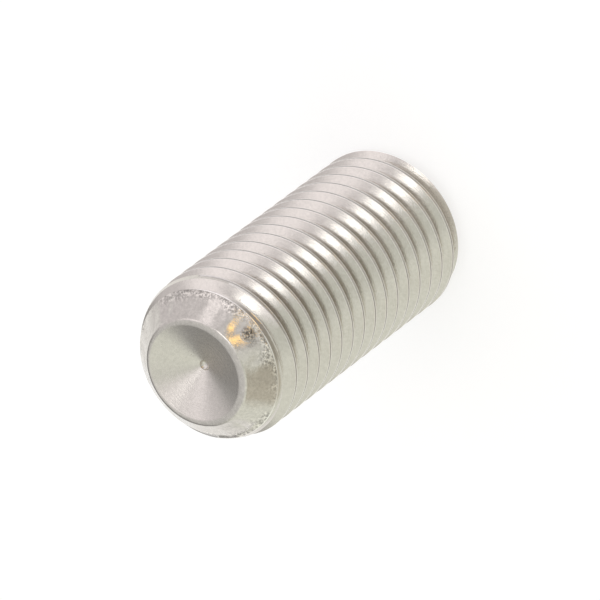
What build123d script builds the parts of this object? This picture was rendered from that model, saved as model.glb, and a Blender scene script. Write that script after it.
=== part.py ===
"""Headless set screw: a hexagon socket in one end and a cup point at the other.

The screw is one cold-formed steel piece, threaded over its whole length.  It stands on the flat
ring round its socket, cup point up.  The origin is the centre of that ring, and +Z is the axis of
the screw.  Millimetres.
"""
import os
from math import cos, radians, tan

from build123d import *

# Thread: ISO metric M16, coarse pitch, right hand
major_diameter = 16.0
thread_pitch = 2.0
flank_angle = 60.0

# Body
overall_length = 35.0
socket_end_chamfer = 1.6

# Point end: a chamfer outside the rim, then a steeper taper over which the thread's crest fills out
point_chamfer_length = 2.05
point_chamfer_diameter = 14.6
crest_taper_end = 3.9

# Cup point: a shallow cone inside a seating rim, with a small dimple at its centre
rim_outer_diameter = 10.7
cup_mouth_diameter = 9.8
cup_angle = 132.0
dimple_diameter = 0.9
dimple_depth = 0.3

# Hexagon socket: its flats end in a drilled cone, and its mouth is countersunk
socket_across_flats = 8.0
socket_depth = 10.0
socket_bottom_angle = 120.0
socket_mouth_diameter = 9.5
socket_mouth_angle = 120.0

# Basic ISO profile, from the height of the sharp V: the crest keeps an eighth of it
sharp_height = thread_pitch / (2 * tan(radians(flank_angle / 2)))
thread_depth = sharp_height * 17 / 24
crest_flat = thread_pitch / 8
root_radius = thread_pitch / 8

# Sizes that follow from the ones above
major_radius = major_diameter / 2
rim_outer_radius = rim_outer_diameter / 2
point_chamfer_radius = point_chamfer_diameter / 2
cup_mouth_radius = cup_mouth_diameter / 2
dimple_radius = dimple_diameter / 2
socket_radius = socket_across_flats / 2
socket_corner_radius = socket_radius / cos(radians(30))
socket_mouth_radius = socket_mouth_diameter / 2

# The bar and the thread start and finish beyond the screw, in waste that is turned away
bar_waste = 3.0 * thread_pitch
thread_waste = 1.8 * thread_pitch
tool_margin = 1.0


def flank_offset(radius):
    """Half the width of the thread groove at a distance from the axis."""
    half_width_at_crest = (thread_pitch - crest_flat) / 2
    return half_width_at_crest + (radius - major_radius) * tan(radians(flank_angle / 2))


with BuildPart() as set_screw:
    with BuildSketch(Plane.XY.offset(-bar_waste)):
        Circle(major_radius)
    extrude(amount=overall_length + 2 * bar_waste)

    # Thread: a V groove with a rounded root, wound on a helix
    groove_top = major_radius + crest_flat / 2
    groove_floor = major_radius - thread_depth
    with BuildLine() as thread_line:
        Helix(
            pitch=thread_pitch,
            height=overall_length + 2 * thread_waste,
            radius=major_radius,
            center=(0, 0, -thread_waste),
        )
    with BuildSketch(Plane.XZ) as groove:
        with BuildLine():
            Polyline(
                (groove_top, -thread_waste - flank_offset(groove_top)),
                (groove_floor, -thread_waste - flank_offset(groove_floor)),
                (groove_floor, -thread_waste + flank_offset(groove_floor)),
                (groove_top, -thread_waste + flank_offset(groove_top)),
                close=True,
            )
        make_face()
        fillet(groove.vertices().group_by(Axis.X)[0], radius=root_radius)
    sweep(groove.sketch, path=thread_line.wire(), is_frenet=True, mode=Mode.SUBTRACT)

    # Socket end: faced off flat, with a 45 degree chamfer that runs the thread out
    bar_radius = major_radius + tool_margin
    with BuildSketch(Plane.XZ):
        with BuildLine():
            Polyline(
                (0, 0),
                (major_radius - socket_end_chamfer, 0),
                (bar_radius, socket_end_chamfer + tool_margin),
                (bar_radius, -bar_waste - tool_margin),
                (0, -bar_waste - tool_margin),
                close=True,
            )
        make_face()
    revolve(axis=Axis.Z, mode=Mode.SUBTRACT)

    # Cup point: the dimpled cone, the narrow flat rim, the chamfer outside it and the crest's taper
    cone_depth = (cup_mouth_radius - dimple_radius) / tan(radians(cup_angle / 2))
    taper_slope = (crest_taper_end - point_chamfer_length) / (major_radius - point_chamfer_radius)
    dimple_edge = (dimple_radius, overall_length - cone_depth)
    dimple_bottom = (0, overall_length - cone_depth - dimple_depth)
    with BuildSketch(Plane.XZ):
        with BuildLine():
            TangentArc(dimple_bottom, dimple_edge, tangent=(1, 0))
            Polyline(
                dimple_edge,
                (cup_mouth_radius, overall_length),
                (rim_outer_radius, overall_length),
                (point_chamfer_radius, overall_length - point_chamfer_length),
                (bar_radius, overall_length - crest_taper_end - tool_margin * taper_slope),
                (bar_radius, overall_length + bar_waste + tool_margin),
                (0, overall_length + bar_waste + tool_margin),
                dimple_bottom,
            )
        make_face()
    revolve(axis=Axis.Z, mode=Mode.SUBTRACT)

    # Hexagon socket
    with BuildSketch(Plane.XY):
        RegularPolygon(radius=socket_corner_radius, side_count=6)
    extrude(amount=socket_depth, mode=Mode.SUBTRACT)
    with BuildSketch(Plane.XZ):
        with BuildLine():
            Polyline(
                (0, 0),
                (socket_mouth_radius, 0),
                (socket_radius, (socket_mouth_radius - socket_radius) / tan(radians(socket_mouth_angle / 2))),
                (socket_radius, socket_depth),
                (0, socket_depth + socket_radius / tan(radians(socket_bottom_angle / 2))),
                close=True,
            )
        make_face()
    revolve(axis=Axis.Z, mode=Mode.SUBTRACT)

set_screw.part.label = "set_screw"

os.makedirs("parts", exist_ok=True)
export_step(set_screw.part, "parts/set_screw.step")
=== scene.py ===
import math

import bmesh
import bpy
from mathutils import Matrix, Vector


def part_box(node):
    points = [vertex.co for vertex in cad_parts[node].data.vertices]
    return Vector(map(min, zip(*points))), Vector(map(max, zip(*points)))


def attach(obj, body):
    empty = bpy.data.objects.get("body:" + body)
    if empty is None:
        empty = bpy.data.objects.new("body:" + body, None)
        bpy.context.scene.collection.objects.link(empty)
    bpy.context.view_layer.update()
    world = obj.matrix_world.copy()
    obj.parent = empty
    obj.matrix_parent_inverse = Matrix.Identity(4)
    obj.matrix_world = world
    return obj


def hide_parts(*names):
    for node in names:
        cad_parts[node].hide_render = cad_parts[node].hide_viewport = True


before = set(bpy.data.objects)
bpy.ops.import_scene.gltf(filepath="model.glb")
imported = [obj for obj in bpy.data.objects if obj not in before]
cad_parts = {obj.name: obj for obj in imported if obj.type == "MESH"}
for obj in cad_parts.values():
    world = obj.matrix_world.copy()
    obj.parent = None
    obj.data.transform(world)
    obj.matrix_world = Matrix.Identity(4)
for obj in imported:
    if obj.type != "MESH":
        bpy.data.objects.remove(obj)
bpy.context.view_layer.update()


# ---------------------------------------------------------------------------------------------
# Set screw. One piece of stainless steel, M16 by 35 mm: the thread is rolled over its whole
# length, the cup point is turned and drilled, and the other end has a pressed hexagon socket.
# ---------------------------------------------------------------------------------------------
MM = 0.001
screw_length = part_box("set_screw")[1].z
major_radius = 8.0 * MM

# The rolled thread: its crest is two narrow lips with a seam between them
pitch = 2.0 * MM
thread_depth = 1.227 * MM
root_radius = 0.40 * MM
crest_width = 0.36 * MM
lip_radius = 0.06 * MM
seam_depth = 0.11 * MM
thread_start = -3.6 * MM
waste_turns = 2
turn_steps = 128
end_waste = 0.8 * MM
turn_weld = 0.002 * MM


def only(piece):
    """Make a piece the one selected and active object."""
    bpy.ops.object.select_all(action="DESELECT")
    piece.select_set(True)
    bpy.context.view_layer.objects.active = piece


def choose(piece, kind, wanted):
    """Select the vertices or edges of a piece in edit mode that wanted() accepts."""
    bpy.ops.mesh.select_mode(type=kind)
    bpy.ops.mesh.select_all(action="DESELECT")
    mesh = bmesh.from_edit_mesh(piece.data)
    elements = {"VERT": mesh.verts, "EDGE": mesh.edges}[kind]
    for element in elements:
        element.select = wanted(element)
    mesh.select_flush_mode()
    bmesh.update_edit_mesh(piece.data)


def draw_outline(name, points):
    """A chain of edges through (radius, height) points, drawn by extruding one vertex."""
    bpy.ops.object.select_all(action="DESELECT")
    radius, height = points[0]
    bpy.ops.mesh.primitive_circle_add(vertices=3, radius=pitch, location=(radius, 0, height))
    outline = bpy.context.object
    outline.name = name
    bpy.ops.object.transform_apply(location=True, rotation=False, scale=False)
    bpy.ops.object.mode_set(mode="EDIT")
    bpy.ops.mesh.select_all(action="SELECT")
    bpy.ops.mesh.merge(type="CENTER")
    for (r0, z0), (r1, z1) in zip(points, points[1:]):
        bpy.ops.mesh.extrude_region_move(TRANSFORM_OT_translate={"value": (r1 - r0, 0, z1 - z0)})
    bpy.ops.object.mode_set(mode="OBJECT")
    return outline


def arc(centre, radius, start, end, steps):
    """Points on an arc, as (radius, height), with its angles in degrees."""
    angles = [math.radians(start + (end - start) * i / steps) for i in range(steps + 1)]
    return [(centre[0] + radius * math.cos(a), centre[1] + radius * math.sin(a)) for a in angles]


def thread_outline():
    """One pitch of the rolled thread, from the middle of a groove to the middle of the next."""
    root = major_radius - thread_depth
    # lower half: root arc, 30 degree flank, one rounded lip of the crest, then half the seam
    lip_centre = (major_radius - lip_radius, (pitch - crest_width) / 2 + lip_radius)
    half = arc((root + root_radius, 0.0), root_radius, 180, 120, 4)
    half += arc(lip_centre, lip_radius, -60, 45, 5)
    half += [(major_radius - seam_depth, pitch / 2)]
    mirrored = [(r, pitch - z) for r, z in reversed(half[:-1])]
    return half + mirrored


first_turn = thread_start - pitch
screw = draw_outline("set_screw_body", [(r, z + first_turn) for r, z in thread_outline()])
only(screw)
winding = screw.modifiers.new("winding", "SCREW")
winding.axis = "Z"
winding.angle = math.tau
winding.screw_offset = pitch
winding.iterations = round(screw_length / pitch) + 1 + 2 * waste_turns
winding.steps = turn_steps
winding.render_steps = turn_steps
bpy.ops.object.modifier_apply(modifier="winding")

# Cut the wound thread off flat, a little beyond both ends of the screw
bpy.ops.object.mode_set(mode="EDIT")
bpy.ops.mesh.select_all(action="SELECT")
bpy.ops.mesh.remove_doubles(threshold=turn_weld)
for end_height, keep_below in ((-end_waste, False), (screw_length + end_waste, True)):
    bpy.ops.mesh.select_all(action="SELECT")
    bpy.ops.mesh.bisect(
        plane_co=(0, 0, end_height), plane_no=(0, 0, 1), use_fill=True,
        clear_inner=not keep_below, clear_outer=keep_below,
    )
bpy.ops.mesh.select_all(action="SELECT")
bpy.ops.mesh.normals_make_consistent(inside=False)
bpy.ops.object.mode_set(mode="OBJECT")


def turned(name, outline, segments):
    """A closed turned solid: rings extruded one from the next, first and last on the axis."""
    bpy.ops.object.select_all(action="DESELECT")
    radius, height = outline[1]
    bpy.ops.mesh.primitive_circle_add(
        vertices=segments, radius=radius, fill_type="TRIFAN", location=(0, 0, height))
    solid = bpy.context.object
    solid.name = name
    bpy.ops.object.transform_apply(location=True, rotation=False, scale=False)
    bpy.ops.object.mode_set(mode="EDIT")
    choose(solid, "VERT", lambda v: v.co.xy.length < radius / 2)
    bpy.ops.transform.translate(value=(0, 0, outline[0][1] - height))
    choose(solid, "EDGE", lambda e: e.is_boundary)
    for (r0, z0), (r1, z1) in zip(outline[1:], outline[2:]):
        bpy.ops.mesh.extrude_region_move(TRANSFORM_OT_translate={"value": (0, 0, z1 - z0)})
        scale = max(r1, 1e-9) / r0
        bpy.ops.transform.resize(value=(scale, scale, 1), center_override=(0, 0, z1))
    bpy.ops.mesh.merge(type="CENTER")
    bpy.ops.mesh.select_all(action="SELECT")
    bpy.ops.mesh.normals_make_consistent(inside=False)
    bpy.ops.object.mode_set(mode="OBJECT")
    return solid


def cut(piece, tool, operation):
    """Apply an exact boolean to a piece and throw the tool away."""
    only(piece)
    boolean = piece.modifiers.new("cut", "BOOLEAN")
    boolean.operation = operation
    boolean.solver = "EXACT"
    boolean.object = tool
    bpy.ops.object.modifier_apply(modifier="cut")
    bpy.data.objects.remove(tool)


# The blank: socket-end chamfer, taper of the last crest, point chamfer and top of the rim
clearance = 0.5 * MM
beyond = major_radius + clearance
socket_end_chamfer = 1.6 * MM
point_chamfer_length = 2.05 * MM
point_chamfer_radius = 7.3 * MM
chamfer_foot = screw_length - point_chamfer_length
crest_taper_end = 3.9 * MM
taper_slope = (crest_taper_end - point_chamfer_length) / (major_radius - point_chamfer_radius)
rim_outer = 5.2 * MM
rim_round = 0.35 * MM
rim_round_inset = 0.42 * rim_round

# A burr stands at the chamfer's foot, over a shallow notch
burr = 0.05 * MM
burr_drop = 2.4 * burr
notch_depth = 0.8 * burr
notch_edge = 0.5 * burr
notch_rise = 0.4 * burr

blank_outline = [
    (0, 0),
    (major_radius - socket_end_chamfer, 0),
    (beyond, socket_end_chamfer + clearance),
    (beyond, screw_length - crest_taper_end - clearance * taper_slope),
    (point_chamfer_radius + burr, chamfer_foot - burr_drop),
    (point_chamfer_radius - notch_depth, chamfer_foot - burr),
    (point_chamfer_radius - notch_edge, chamfer_foot + notch_rise),
]
rim_round_centre = (rim_outer - rim_round_inset, screw_length - rim_round)
blank_outline += arc(rim_round_centre, rim_round, 40, 90, 5)
blank_outline += [(0, screw_length)]
cut(screw, turned("set_screw_blank", blank_outline, 256), "INTERSECT")

# The cup: a drilled cone a hair off centre, with a rounded mouth and the drill's own dimple
tool_beyond = 1 * MM
cup_mouth = 4.68 * MM
cup_shift = Vector((-0.04, 0.28, 0)) * MM
cup_half_angle = 66
mouth_round = 0.5 * MM
mouth_turn = 90 - cup_half_angle
mouth_set_out = mouth_round * math.tan(math.radians(mouth_turn / 2))
mouth_centre = (cup_mouth + mouth_set_out, screw_length - mouth_round)
dimple_radius = 0.5 * MM
dimple_depth = 0.32 * MM
cone_depth = (cup_mouth - dimple_radius) / math.tan(math.radians(cup_half_angle))
dimple_sphere = (dimple_radius ** 2 + dimple_depth ** 2) / (2 * dimple_depth)
dimple_angle = math.degrees(math.asin(dimple_radius / dimple_sphere))
dimple_floor = screw_length - cone_depth - dimple_depth
dimple = arc((0, dimple_floor + dimple_sphere), dimple_sphere, -90, -90 + dimple_angle, 7)

cup_outline = [(0, dimple_floor)] + dimple[1:]
cup_outline += arc(mouth_centre, mouth_round, 90 + mouth_turn, 90, 5)
cup_outline += [(mouth_centre[0], screw_length + tool_beyond), (0, screw_length + tool_beyond)]
cup_tool = turned("set_screw_cup_tool", cup_outline, 192)
only(cup_tool)
bpy.ops.transform.translate(value=cup_shift)
bpy.ops.object.transform_apply()
cut(screw, cup_tool, "DIFFERENCE")

# The socket: a hexagon with a drilled bottom and a countersunk mouth
socket_flat = 4.0 * MM
socket_corner = socket_flat / math.cos(math.radians(30))
socket_depth = 10.0 * MM
socket_mouth = 4.75 * MM
drill_tangent = math.tan(math.radians(60))

hexagon_outline = [
    (0, -tool_beyond),
    (socket_corner, -tool_beyond),
    (socket_corner, socket_depth),
    (0, socket_depth),
]
cut(screw, turned("set_screw_hexagon", hexagon_outline, 6), "DIFFERENCE")
drill_outline = [
    (0, -tool_beyond),
    (socket_mouth + tool_beyond * drill_tangent, -tool_beyond),
    (socket_flat, (socket_mouth - socket_flat) / drill_tangent),
    (socket_flat, socket_depth),
    (0, socket_depth + socket_flat / drill_tangent),
]
cut(screw, turned("set_screw_drill", drill_outline, 96), "DIFFERENCE")

cut_weld = 0.001 * MM
sharpest_smooth_edge = math.radians(32)
only(screw)
bpy.ops.object.mode_set(mode="EDIT")
bpy.ops.mesh.select_all(action="SELECT")
bpy.ops.mesh.remove_doubles(threshold=cut_weld)
bpy.ops.mesh.normals_make_consistent(inside=False)
bpy.ops.object.mode_set(mode="OBJECT")
bpy.ops.object.shade_smooth_by_angle(angle=sharpest_smooth_edge)


def shader_group(name, inputs, outputs):
    """An empty node group with named value sockets; returns it with its two end nodes."""
    group = bpy.data.node_groups.new(name, "ShaderNodeTree")
    for label, default in inputs:
        socket = group.interface.new_socket(label, in_out="INPUT", socket_type="NodeSocketFloat")
        socket.default_value = default
    for label in outputs:
        group.interface.new_socket(label, in_out="OUTPUT", socket_type="NodeSocketFloat")
    start = group.nodes.new("NodeGroupInput")
    end = group.nodes.new("NodeGroupOutput")
    return group, start, end


def feed(tree, socket, value):
    """Set a socket to a plain number, or link another socket to it."""
    if isinstance(value, (int, float)):
        socket.default_value = value
    else:
        tree.links.new(value, socket)


def math_node(tree, operation, *values, clamp=False):
    """A Math node fed by sockets or plain numbers; returns its output."""
    node = tree.nodes.new("ShaderNodeMath")
    node.operation = operation
    node.use_clamp = clamp
    for socket, value in zip(node.inputs, values):
        feed(tree, socket, value)
    return node.outputs[0]


def vector_node(tree, operation, vector):
    """A Vector Math node with its first input linked; returns the node."""
    node = tree.nodes.new("ShaderNodeVectorMath")
    node.operation = operation
    tree.links.new(vector, node.inputs[0])
    return node


def ramp_between(tree, value, low, high):
    """0 below low, 1 above high, eased between."""
    node = tree.nodes.new("ShaderNodeMapRange")
    node.interpolation_type = "SMOOTHSTEP"
    feed(tree, node.inputs["From Min"], low)
    feed(tree, node.inputs["From Max"], high)
    tree.links.new(value, node.inputs["Value"])
    return node.outputs["Result"]


def place_on_screw(tree):
    """The place on the screw, as a socket, in metres."""
    return tree.nodes.new("ShaderNodeTexCoord").outputs["Object"]


def lathe_coordinates(tree):
    """Sockets for the distance from the axis and the height, in mm, and the unit direction."""
    parts = tree.nodes.new("ShaderNodeSeparateXYZ")
    tree.links.new(place_on_screw(tree), parts.inputs[0])
    flat = tree.nodes.new("ShaderNodeCombineXYZ")
    tree.links.new(parts.outputs["X"], flat.inputs["X"])
    tree.links.new(parts.outputs["Y"], flat.inputs["Y"])
    length = vector_node(tree, "LENGTH", flat.outputs[0])
    unit = vector_node(tree, "NORMALIZE", flat.outputs[0])
    radius = math_node(tree, "MULTIPLY", length.outputs["Value"], 1000)
    height = math_node(tree, "MULTIPLY", parts.outputs["Z"], 1000)
    return radius, height, unit.outputs[0]


def noise(tree, vector, scale, detail, roughness):
    """A noise pattern on a vector socket; returns its 0 to 1 value."""
    node = tree.nodes.new("ShaderNodeTexNoise")
    node.inputs["Scale"].default_value = scale
    node.inputs["Detail"].default_value = detail
    node.inputs["Roughness"].default_value = roughness
    tree.links.new(vector, node.inputs["Vector"])
    return node.outputs["Fac"]


# Lines that run round the axis, as a lathe or a thread roll leaves them: finely spaced along
# the section, and drawn out round the screw until they fade
rings, ring_in, ring_out = shader_group(
    "lathe_lines", [("Lines per mm", 12.0), ("Break up", 3.0)], ["Lines"])
radius, height, around = lathe_coordinates(rings)
stretched = rings.nodes.new("ShaderNodeCombineXYZ")
for axis, operation in (("X", "ADD"), ("Y", "SUBTRACT")):
    section = math_node(rings, operation, radius, height)
    spaced = math_node(rings, "MULTIPLY", section, ring_in.outputs["Lines per mm"])
    rings.links.new(spaced, stretched.inputs[axis])
wander = vector_node(rings, "SCALE", around)
rings.links.new(ring_in.outputs["Break up"], wander.inputs["Scale"])
joined = vector_node(rings, "ADD", stretched.outputs[0])
rings.links.new(wander.outputs[0], joined.inputs[1])
rings.links.new(noise(rings, joined.outputs[0], 1.0, 3.0, 0.6), ring_out.inputs["Lines"])

# Small pits and dents left in the steel by handling: sparse dark specks
pits, pit_in, pit_out = shader_group(
    "handling_pits", [("Pits per mm", 2.5), ("Share", 0.3)], ["Pits"])
pit_scale = vector_node(pits, "SCALE", place_on_screw(pits))
pits_per_metre = math_node(pits, "MULTIPLY", pit_in.outputs["Pits per mm"], 1000)
pits.links.new(pits_per_metre, pit_scale.inputs["Scale"])
pit_noise = noise(pits, pit_scale.outputs[0], 1.0, 1.0, 0.4)
pits.links.new(ramp_between(pits, pit_noise, pit_in.outputs["Share"], 0.0), pit_out.inputs["Pits"])

# Every finish of the steel: how far pits darken it and how deep they are against its lines,
# the scales of its mottling and grain, in patches a metre, and the grain's height, in mm
pit_darkening = 0.5
pit_relief = 4.0
mottle_scale = 3500.0
grain_scale = 9000.0
grain_height = 0.008


def steel_material(name, colour, roughness, lines_per_mm, line_height, pit_share,
                   mottling=0.28):
    """Bare stainless steel: mottled, with tool lines and pits; heights in mm.

    Returns the material, its shader, the socket of its shade and the node of its tint.
    """
    material = bpy.data.materials.new(name)
    material.use_nodes = True
    tree = material.node_tree
    shader = tree.nodes["Principled BSDF"]
    shader.inputs["Metallic"].default_value = 1.0
    lines = tree.nodes.new("ShaderNodeGroup")
    lines.node_tree = rings
    lines.inputs["Lines per mm"].default_value = lines_per_mm
    specks = tree.nodes.new("ShaderNodeGroup")
    specks.node_tree = pits
    specks.inputs["Share"].default_value = pit_share
    place = place_on_screw(tree)

    mottle = noise(tree, place, mottle_scale, 3.0, 0.65)
    shade = math_node(tree, "MULTIPLY_ADD", mottle, mottling, 1.0 - mottling / 2)
    darkening = math_node(tree, "MULTIPLY", specks.outputs["Pits"], pit_darkening)
    shade = math_node(tree, "MULTIPLY", shade, math_node(tree, "SUBTRACT", 1.0, darkening))
    tint = tree.nodes.new("ShaderNodeVectorMath")
    tint.operation = "SCALE"
    tint.inputs[0].default_value = colour
    tree.links.new(shade, tint.inputs["Scale"])
    tree.links.new(tint.outputs[0], shader.inputs["Base Color"])

    spread = math_node(
        tree, "MULTIPLY_ADD", lines.outputs["Lines"], roughness * 0.5, roughness * 0.75)
    tree.links.new(spread, shader.inputs["Roughness"])

    bump = tree.nodes.new("ShaderNodeBump")
    bump.inputs["Strength"].default_value = 1.0
    bump.inputs["Distance"].default_value = line_height * MM
    pit_depth = math_node(tree, "MULTIPLY", specks.outputs["Pits"], pit_relief)
    relief = math_node(tree, "SUBTRACT", lines.outputs["Lines"], pit_depth)
    grain = noise(tree, place, grain_scale, 2.0, 0.7)
    grain = math_node(tree, "MULTIPLY", grain, grain_height / line_height)
    tree.links.new(math_node(tree, "ADD", relief, grain), bump.inputs["Height"])
    tree.links.new(bump.outputs["Normal"], shader.inputs["Normal"])
    return material, shader, shade, tint


bright_steel = (0.645, 0.612, 0.565)
# paler steel for the crest lips and the burr: a painted highlight along these edges
lip_highlight_colour = (0.84, 0.81, 0.77)
# darker steel for the crest seam and the notch at the chamfer's foot: a painted shade in these
# creases
painted_seam_shade = (0.42, 0.4, 0.37)
pressed_grey = (0.5, 0.48, 0.45)
thread_steel = steel_material("rolled_thread_steel", bright_steel, 0.13, 7.0, 0.008, 0.26)[0]
lip_steel = steel_material("lip_painted_highlight_steel", lip_highlight_colour, 0.2, 5.0, 0.004, 0.24)[0]
seam_steel = steel_material("rolled_seam_with_painted_shade", painted_seam_shade, 0.4, 5.0, 0.006, 0.24)[0]
point_steel, shader, shade, tint = steel_material(
    "turned_point_steel", bright_steel, 0.12, 3.0, 0.006, 0.22, 0.44)

# The turned point: shallow waves round its chamfer, which begin outside the rim (radii in mm)
wave_height = 0.24 * MM
waves_round = 4.5
waves_outward = 0.35
chamfer_inner, chamfer_full = 5.3, 6.2
# torn metal towards the chamfer's outer edge, where the thread begins, and in one nick; the nick
# is also painted darker, a painted dark reflection beside the brass-coloured reflection
tear_height = 0.045 * MM
tear_scale = 3800.0
patch_scale = 500.0
patch_reach = 2.4
torn_inner, torn_full = 7.7, 8.6
torn_least = 0.1
nick_and_reflection_centre = Vector((3.25, -5.63, 33.7)) * MM
nick_and_reflection_full, nick_and_reflection_gone = 0.3, 0.85
# and scars in the torn metal, some darker and some paler, the paler ones a painted glint that
# stands in for sparkle
scar_dark, scar_painted_glint = 0.38, 0.64
scar_and_glint_strength = 0.95
# how much darker the nick is painted: a painted dark reflection
painted_reflection_darkening = 0.45

tree = point_steel.node_tree
place = place_on_screw(tree)
radius, _, around = lathe_coordinates(tree)
spokes = vector_node(tree, "MULTIPLY_ADD", around)
spokes.inputs[1].default_value = (waves_round, waves_round, waves_round)
lifted = tree.nodes.new("ShaderNodeCombineXYZ")
tree.links.new(math_node(tree, "MULTIPLY", radius, waves_outward), lifted.inputs["Z"])
tree.links.new(lifted.outputs[0], spokes.inputs[2])
dents = math_node(tree, "SUBTRACT", noise(tree, spokes.outputs[0], 1.0, 0.0, 0.5), 0.5)
dents = math_node(tree, "MULTIPLY", dents, ramp_between(tree, radius, chamfer_inner, chamfer_full))
waves = tree.nodes.new("ShaderNodeBump")
waves.inputs["Distance"].default_value = wave_height
tree.links.new(dents, waves.inputs["Height"])

torn = noise(tree, place, tear_scale, 3.0, 0.75)
patches = noise(tree, place, patch_scale, 1.0, 0.5)
torn_edge = math_node(tree, "ADD", radius, math_node(tree, "MULTIPLY", patches, patch_reach))
torn_band = math_node(
    tree, "MULTIPLY_ADD", ramp_between(tree, torn_edge, torn_inner, torn_full),
    1 - torn_least, torn_least)
nick_and_reflection_distance = vector_node(tree, "DISTANCE", place)
nick_and_reflection_distance.inputs[1].default_value = nick_and_reflection_centre
nick_with_dark_reflection = math_node(tree, "MULTIPLY", nick_and_reflection_distance.outputs["Value"], 1000)
nick_with_dark_reflection = math_node(tree, "SUBTRACT", 1.0, ramp_between(tree, nick_with_dark_reflection, nick_and_reflection_full, nick_and_reflection_gone))
torn_band = math_node(tree, "MAXIMUM", torn_band, nick_with_dark_reflection)
tears = tree.nodes.new("ShaderNodeBump")
tears.inputs["Distance"].default_value = tear_height
tree.links.new(math_node(tree, "MULTIPLY", torn, torn_band), tears.inputs["Height"])
tree.links.new(waves.outputs["Normal"], tears.inputs["Normal"])
lines_bump = shader.inputs["Normal"].links[0].from_node
tree.links.new(tears.outputs["Normal"], lines_bump.inputs["Normal"])

# random darker and paler scars over the torn metal; the paler ones are painted glints
scars_and_glints = math_node(tree, "SUBTRACT", ramp_between(tree, torn, scar_dark, scar_painted_glint), 0.5)
scars_and_glints = math_node(tree, "MULTIPLY", scars_and_glints, scar_and_glint_strength)
scars_and_glints = math_node(tree, "MULTIPLY_ADD", scars_and_glints, torn_band, 1.0)
# the nick painted darker: a painted dark reflection
scars_and_glints = math_node(tree, "SUBTRACT", scars_and_glints, math_node(tree, "MULTIPLY", nick_with_dark_reflection, painted_reflection_darkening))
tree.links.new(math_node(tree, "MULTIPLY", scars_and_glints, shade), tint.inputs["Scale"])

cup_steel = steel_material("drilled_cup_steel", bright_steel, 0.26, 7.0, 0.009, 0.2, 0.34)[0]
socket_steel = steel_material("pressed_socket_steel", pressed_grey, 0.33, 3.0, 0.01, 0.28)[0]

# Each face takes the finish of its place: inside the socket and the cup, then the point, the
# notch and burr at the chamfer's foot, and the seam and lips along the crest. The seam and the
# notch are painted darker, a painted shade in these creases; the lips and the burr are painted
# paler, a painted highlight along these edges
THREAD, POINT, CUP, SOCKET, LIP, SEAM = range(6)
screw.data.materials.clear()
for material in (thread_steel, point_steel, cup_steel, socket_steel, lip_steel, seam_steel):
    screw.data.materials.append(material)
socket_bottom = socket_depth + 3 * MM
socket_reach = socket_mouth * 0.999
cup_bottom = cone_depth + 2 * dimple_depth
cup_edge = mouth_centre[0] * 0.997
chamfer_tilt = 0.55
for face in screw.data.polygons:
    below_point = screw_length - face.center.z
    reach = face.center.xy.length
    cup_reach = (face.center.xy - cup_shift.xy).length
    if face.center.z < socket_bottom and reach < socket_reach:
        face.material_index = SOCKET
    elif below_point < cup_bottom and cup_reach < cup_edge:
        face.material_index = CUP
    elif below_point < point_chamfer_length - 0.2 * burr and face.normal.z > chamfer_tilt:
        face.material_index = POINT
    # the notch under the burr takes the painted shade, the burr above it the painted highlight
    elif below_point < point_chamfer_length + burr and reach < point_chamfer_radius + burr:
        face.material_index = SEAM
    elif below_point < point_chamfer_length + 3 * burr and reach < point_chamfer_radius + 2 * burr:
        face.material_index = LIP
    elif reach > major_radius - seam_depth:
        turn = math.atan2(face.center.y, face.center.x) / math.tau
        from_crest = abs((face.center.z - thread_start - turn * pitch) % pitch - pitch / 2)
        # the seam between the lips takes the painted shade, the lips the painted highlight
        if from_crest < crest_width / 2 - 2 * lip_radius:
            face.material_index = SEAM
        elif from_crest < crest_width / 2:
            face.material_index = LIP

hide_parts("set_screw")
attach(screw, "root")


# ---------------------------------------------------------------------------------------------
# Camera. Looks down on the cup point from far off, turned so that the screw lies across the
# picture from lower left to upper right.
# ---------------------------------------------------------------------------------------------
elevation = math.radians(50.07)
azimuth = math.radians(300.0)
roll = math.radians(37.0)
camera_distance = 120 * major_radius
sensor_width = 36
# the breadth of the view at the screw, and how far the cup's mouth lies to the right of its
# middle and above it
view_width = 53.8539 * MM
mouth_right, mouth_above = -9.31673 * MM, -6.54325 * MM

towards = Vector((math.cos(azimuth), math.sin(azimuth), 0))
sideways = Vector((math.sin(azimuth), -math.cos(azimuth), 0))
up = Vector((0, 0, 1))
sin_e, cos_e = math.sin(elevation), math.cos(elevation)
sin_r, cos_r = math.sin(roll), math.cos(roll)
camera_x = cos_r * sin_e * towards + sin_r * sideways - cos_r * cos_e * up
camera_y = sin_r * sin_e * towards - cos_r * sideways - sin_r * cos_e * up
camera_z = cos_e * towards + sin_e * up
view_centre = Vector((0, 0, screw_length)) - mouth_right * camera_x - mouth_above * camera_y
stand = view_centre + camera_distance * camera_z

bpy.ops.object.camera_add(location=stand)
camera = bpy.context.object
turn = Matrix((camera_x, camera_y, camera_z)).transposed().to_4x4()
camera.matrix_world = Matrix.Translation(stand) @ turn
camera.data.sensor_width = sensor_width
camera.data.lens = sensor_width * camera_distance / view_width
camera.data.clip_start = 0.05
camera.data.clip_end = 10
bpy.context.scene.camera = camera


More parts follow.
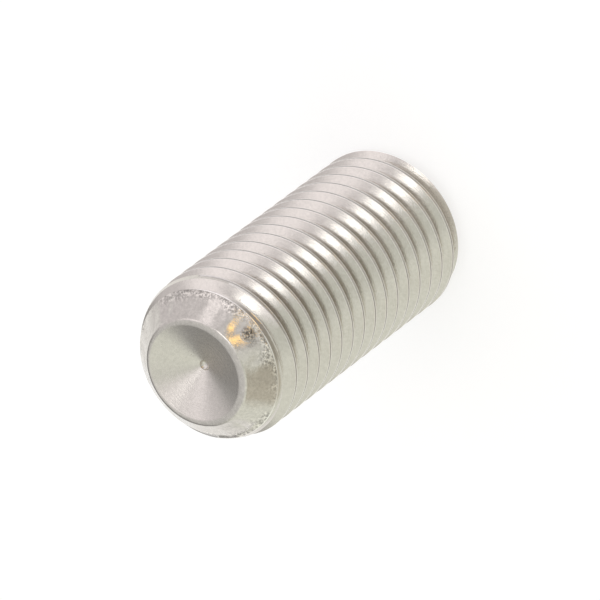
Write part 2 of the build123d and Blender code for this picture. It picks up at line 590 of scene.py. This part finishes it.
# ---------------------------------------------------------------------------------------------
# Floor and light. A white paper table under the screw, and a studio of soft boxes and dark
# cards round it that the steel reflects.
# ---------------------------------------------------------------------------------------------
floor_radius = 0.11
floor_gap = 0.02 * MM
paper_grey = (0.45, 0.45, 0.45, 1)
paper_glow = 0.66
white = (1, 1, 1, 1)
bpy.ops.object.select_all(action="DESELECT")
bpy.ops.mesh.primitive_circle_add(
    vertices=96, radius=floor_radius, fill_type="NGON", location=(0, 0, -floor_gap))
floor = bpy.context.object
floor.name = "floor"
paper = bpy.data.materials.new("white_paper")
paper.use_nodes = True
tree = paper.node_tree
shader = tree.nodes["Principled BSDF"]
shader.inputs["Base Color"].default_value = paper_grey
shader.inputs["Roughness"].default_value = 0.9
shader.inputs["Specular IOR Level"].default_value = 0.0
path = tree.nodes.new("ShaderNodeLightPath")
seen = math_node(
    tree, "ADD", path.outputs["Is Camera Ray"], path.outputs["Is Glossy Ray"], clamp=True)
seen = math_node(tree, "ADD", seen, path.outputs["Is Transmission Ray"], clamp=True)
tree.links.new(math_node(tree, "MULTIPLY", seen, paper_glow), shader.inputs["Emission Strength"])
shader.inputs["Emission Color"].default_value = white
floor.data.materials.append(paper)

world = bpy.data.worlds.new("studio")
bpy.context.scene.world = world
world.use_nodes = True
tree = world.node_tree
sky = tree.nodes["Background"]
looking = tree.nodes.new("ShaderNodeTexCoord").outputs["Generated"]


def light_area(behind, direction, inner, outer, colour):
    """Lay a soft-edged round area of light or dark over the studio; angles in degrees."""
    centre = (direction[0] * towards + direction[1] * sideways + direction[2] * up).normalized()
    dot = vector_node(tree, "DOT_PRODUCT", looking)
    dot.inputs[1].default_value = centre
    edge, middle = math.cos(math.radians(outer)), math.cos(math.radians(inner))
    mix = tree.nodes.new("ShaderNodeMix")
    mix.data_type = "RGBA"
    tree.links.new(ramp_between(tree, dot.outputs["Value"], edge, middle), mix.inputs["Factor"])
    tree.links.new(behind, mix.inputs["A"])
    mix.inputs["B"].default_value = (*colour, 1)
    return mix.outputs["Result"]


def tone(level, tint=(1, 1, 1)):
    """A colour of one brightness and tint."""
    return tuple(level * t for t in tint)


# From the room to the smallest reflections, each laid over those before it: the direction
# (towards the camera, to its side, up), the angles at which it is full and gone, its colour
rose = (1.0, 0.965, 1.0)
sage = (1.0, 1.03, 0.95)
brown = (1.0, 0.93, 0.85)
olive = (1.0, 0.96, 0.82)
room = tree.nodes.new("ShaderNodeRGB")
room.outputs[0].default_value = (*tone(0.82), 1)
light = room.outputs[0]
for area in (
    ((0, 0.9, 0.35), 30, 75, tone(0.93, sage)),
    ((0, -0.9, 0.35), 30, 75, tone(0.80, rose)),
    ((-1, 0, 0.08), 20, 52, tone(0.33)),
    ((-0.8, -0.52, -0.35), 10, 32, tone(0.98)),
    ((-0.8, 0.50, -0.35), 10, 32, tone(1.05)),
    ((1, 0, 0.08), 22, 40, tone(0.42, brown)),
    ((0.85, 0.50, 0.12), 12, 27, tone(0.42, olive)),
    ((0.22, 0.92, 0.30), 12, 30, tone(0.64, olive)),
    ((0.5, 0.72, 0.42), 4, 20, tone(0.56, olive)),
    ((0.30, 0.25, 0.92), 8, 22, tone(0.74, sage)),
    ((0.0, -0.63, 0.78), 10, 26, tone(1.25, rose)),
    ((0.46, -0.76, 0.44), 6, 14, tone(1.35, rose)),
    ((0.16, -0.47, 0.86), 2, 9, tone(0.72, rose)),
    ((0.12, -0.05, 0.99), 5, 16, tone(1.15, rose)),
    ((0.33, -0.22, 0.92), 6, 12, tone(2.4)),
    # something brass-coloured in the room, with a brown fringe and a dark card beside it
    ((0.80, -0.09, 0.60), 3, 10, (0.66, 0.44, 0.22)),
    ((0.80, -0.09, 0.60), 3, 7, (2.8, 1.9, 0.8)),
    ((0.84, 0.12, 0.53), 3, 7, tone(0.05)),
):
    light = light_area(light, *area)

# The camera itself sees plain white behind the table
path = tree.nodes.new("ShaderNodeLightPath")
backdrop = tree.nodes.new("ShaderNodeMix")
backdrop.data_type = "RGBA"
tree.links.new(path.outputs["Is Camera Ray"], backdrop.inputs["Factor"])
tree.links.new(light, backdrop.inputs["A"])
backdrop.inputs["B"].default_value = white
tree.links.new(backdrop.outputs["Result"], sky.inputs["Color"])

bpy.context.scene.view_settings.view_transform = "Standard"
